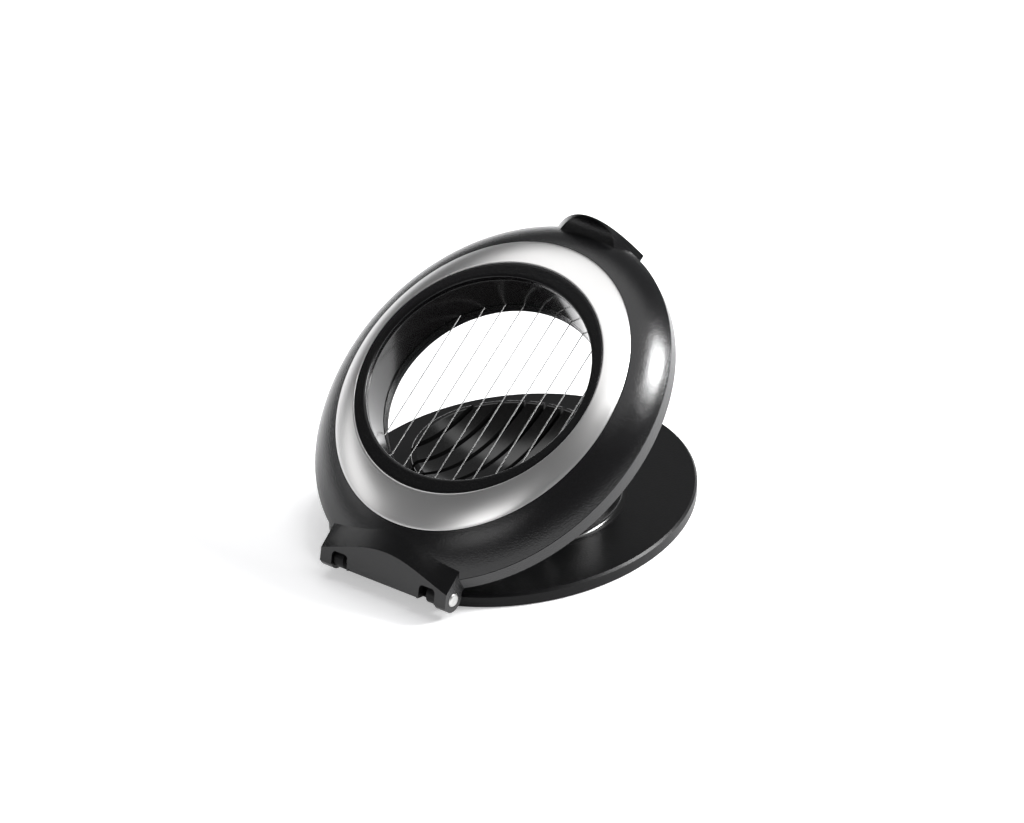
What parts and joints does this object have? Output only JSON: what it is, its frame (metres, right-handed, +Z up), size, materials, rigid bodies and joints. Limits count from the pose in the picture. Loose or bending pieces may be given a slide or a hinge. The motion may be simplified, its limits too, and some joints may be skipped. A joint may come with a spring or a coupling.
{
  "type": "egg slicer",
  "caption": "Oval table-top slicer: a flat base with a slotted round tray and a hinged dome lid whose round opening carries a row of cutting wires.",
  "frame": {"origin": "centre of the rubber sole's underside, on the table", "axes": "+Z up, +Y from the hinge to the far end of the base plate, +X across, parallel to the hinge axis"},
  "size_m": [0.128, 0.1554, 0.0991],
  "materials": {
    "textured_plastic": "fine spark-eroded texture, satin black",
    "glossy_plastic": "polished black",
    "frame_plastic": "satin black",
    "rubber": "matt black",
    "trim_steel": "fine circular brushing",
    "wire_steel": "bright drawn wire",
    "screw_steel": "plain machined",
    "pin_steel": "polished domed head"
  },
  "bodies": {
    "base": {"base_plate": "textured_plastic", "rubber_sole": "rubber", "slicing_tray": "glossy_plastic", "tray_screws": "screw_steel"},
    "lid": {"lid_shell": "textured_plastic", "steel_trim_ring": "trim_steel", "bezel_ring": "textured_plastic", "tunnel_liner": "glossy_plastic", "wire_frame": "frame_plastic", "underside_cover": "textured_plastic", "wire_beads": "screw_steel", "lid_screws": "screw_steel", "hinge_pin_right": "pin_steel", "hinge_pin_left": "pin_steel", "cutting_wire_01": "wire_steel", "cutting_wire_02": "wire_steel", "cutting_wire_03": "wire_steel", "cutting_wire_04": "wire_steel", "cutting_wire_05": "wire_steel", "cutting_wire_06": "wire_steel", "cutting_wire_07": "wire_steel", "cutting_wire_08": "wire_steel", "cutting_wire_09": "wire_steel", "cutting_wire_10": "wire_steel"}
  },
  "joints": [
    {"name": "lid_hinge", "type": "hinge", "parent": "base", "child": "lid", "pos_m": [0, -0.0752, 0.0074], "axis": [1, 0, 0], "range_deg": [-31.3, 58.7]}
  ]
}
